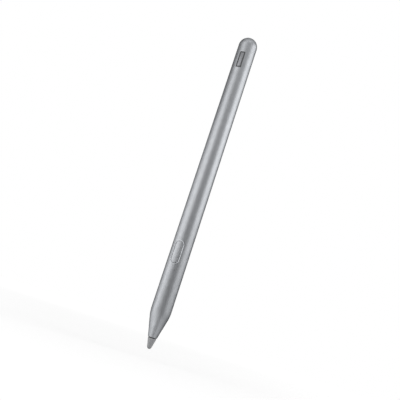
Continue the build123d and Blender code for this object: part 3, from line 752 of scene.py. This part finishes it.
def facingPen(azimuth, distance, height, roll=0):  # a place round the pen, turned to its axis
    spot = roundThePen(azimuth, distance * mm, height * mm)
    turned = Vector((spot.x, spot.y, 0)).to_track_quat("Z", "Y").to_matrix().to_4x4()
    return Matrix.Translation(spot) @ turned @ Matrix.Rotation(math.radians(roll), 4, "Z")


def addLamp(name, width, height, radiance, place):
    lamp = bpy.data.lights.new(name, "AREA")
    lamp.shape = "RECTANGLE"
    lamp.size, lamp.size_y = width * mm, height * mm
    lamp.energy = radiance * math.pi * lamp.size * lamp.size_y
    panel = addObject(name, lamp)
    panel.matrix_world = place
    panel.visible_camera = False


panels = {  # azimuth and roll in degrees, the rest in mm
    "leftPanel": {
        "azimuth": -42, "roll": 22, "distance": 500,
        "top": 292, "bottom": -15, "width": 670, "radiance": 1.6,
    },
    "leftEdgePanel": {
        "azimuth": -94, "roll": 0, "distance": 480,
        "top": 150, "bottom": -88, "width": 170, "radiance": 0.6,
    },
    "rightPanel": {
        "azimuth": 101, "roll": 0, "distance": 500,
        "top": 440, "bottom": 48, "width": 640, "radiance": 1.88,
    },
}


def makePanel(name, look):
    middle = (look["top"] + look["bottom"]) / 2
    place = facingPen(look["azimuth"], look["distance"], middle, look["roll"])
    addLamp(name, look["width"], look["top"] - look["bottom"], look["radiance"], place)


crownPanel = {  # high in front, for the round end
    "azimuth": 18, "distance": 330, "height": 560, "width": 560, "depth": 200, "radiance": 0.9,
}


def makeCrownPanel(look):
    spot = roundThePen(look["azimuth"], look["distance"] * mm, look["height"] * mm)
    towards = spot - Vector((0, 0, cadHigh.z))
    place = Matrix.Translation(spot) @ towards.to_track_quat("Z", "Y").to_matrix().to_4x4()
    addLamp("crownPanel", look["width"], look["depth"], look["radiance"], place)


lowPanels = {  # lie beside the pen's point and shine up
    "lowLeftPanel": {"azimuth": -52, "near": 18, "far": 260, "width": 140, "rise": 1, "radiance": 1.45},
    "lowRightPanel": {"azimuth": 80, "near": 18, "far": 160, "width": 80, "rise": 1, "radiance": 0.75},
}


def besidePoint(look):  # lies flat, with its length away from the pen
    height = tipZ - (studio["floorDrop"] - look["rise"]) * mm
    spot = roundThePen(look["azimuth"], (look["far"] + look["near"]) / 2 * mm, height)
    return Matrix.Translation(spot) @ Matrix.Rotation(math.radians(look["azimuth"]), 4, "Z")


def makeLowPanel(name, look):
    place = besidePoint(look) @ Matrix.Rotation(math.pi, 4, "X")
    addLamp(name, look["width"], look["far"] - look["near"], look["radiance"], place)


# Grey cards give the pen its darker bands: the glow goes from its first value at the ramp's
# first height to its second value at the second

cards = {
    "frontCard": {
        "azimuth": 27, "distance": 900, "top": 900, "bottom": -88, "width": 1150,
        "ramp": (-40, 150), "glow": (0.02, 0.78),
    },
    "leftCard": {
        "azimuth": -138, "distance": 520, "top": 800, "bottom": -88, "width": 620,
        "ramp": (-88, 400), "glow": (0.3, 0.24),
    },
    "upperCard": {
        "azimuth": -88, "distance": 480, "top": 800, "bottom": 190, "width": 430,
        "ramp": (190, 400), "glow": (0.45, 0.3),
    },
    "rightCard": {
        "azimuth": 168, "distance": 520, "top": 800, "bottom": -88, "width": 520,
        "ramp": (-88, 400), "glow": (0.22, 0.42),
    },
}
lowCards = {  # grey cards that lie round the pen's point
    "lowFrontCard": {"azimuth": 26, "near": 22, "far": 600, "width": 400, "rise": 0.5, "glow": 0.25},
    "lowBackCard": {"azimuth": 150, "near": 10, "far": 220, "width": 150, "rise": 0.5, "glow": 0.12},
    "lowRearCard": {"azimuth": -160, "near": 10, "far": 260, "width": 130, "rise": 0.6, "glow": 0.15},
    "lowLeftCard": {"azimuth": -112, "near": 10, "far": 220, "width": 130, "rise": 0.5, "glow": 0.12},
}


def addCard(name, width, height, place, glow, ramp=None):  # only reflections show it
    shape = bmesh.new()
    bmesh.ops.create_grid(shape, x_segments=1, y_segments=1, size=0.5)
    bmesh.ops.scale(shape, verts=shape.verts, vec=(width * mm, height * mm, 1))
    bmesh.ops.transform(shape, verts=shape.verts, matrix=place)
    paint = bpy.data.materials.new(name + "Grey")
    paint.use_nodes = True
    tree = paint.node_tree
    tree.nodes.clear()
    strength = glow
    if ramp:
        up = alongAxis(tree, addNode(tree, "TexCoord", {}).outputs["Object"], "Z")
        strength = ease(tree, up, ramp[0] * mm, ramp[1] * mm, *glow)
    shine = addNode(tree, "Emission", {"Color": white, "Strength": strength})
    addNode(tree, "OutputMaterial", {"Surface": shine.outputs[0]})
    card = meshObject(name, shape, paint)
    card.visible_camera = card.visible_diffuse = card.visible_shadow = False


def makeCard(name, look):
    middle, height = (look["top"] + look["bottom"]) / 2, look["top"] - look["bottom"]
    place = facingPen(look["azimuth"], look["distance"], middle)
    addCard(name, look["width"], height, place, look["glow"], look["ramp"])


def makeLowCard(name, look):
    height = look["far"] - look["near"]
    addCard(name, look["width"], height, besidePoint(look), look["glow"])


def makeCamera(look):
    lens = bpy.data.cameras.new("photoCamera")
    lens.sensor_width = look["sensor"]
    lens.lens = look["lens"]
    lens.clip_start = look["clipStart"] * mm
    camera = addObject("photoCamera", lens)
    height = tipZ + look["cameraRise"] * mm
    spot = roundThePen(look["cameraAzimuth"], look["cameraDistance"] * mm, height)
    level = Matrix.Rotation(math.radians(look["cameraAzimuth"] - look["lookRight"]), 4, "Z")
    pitch = Matrix.Rotation(math.radians(90 + look["lookUp"]), 4, "X")
    roll = Matrix.Rotation(math.radians(look["roll"]), 4, "Z")
    camera.matrix_world = Matrix.Translation(spot) @ level @ pitch @ roll
    scene.camera = camera


makeFloor(studio)
makeWorld(studio)
for name, look in panels.items():
    makePanel(name, look)
makeCrownPanel(crownPanel)
for name, look in lowPanels.items():
    makeLowPanel(name, look)
for name, look in cards.items():
    makeCard(name, look)
for name, look in lowCards.items():
    makeLowCard(name, look)
makeCamera(studio)
scene.view_settings.view_transform = "Standard"
print("studio set")
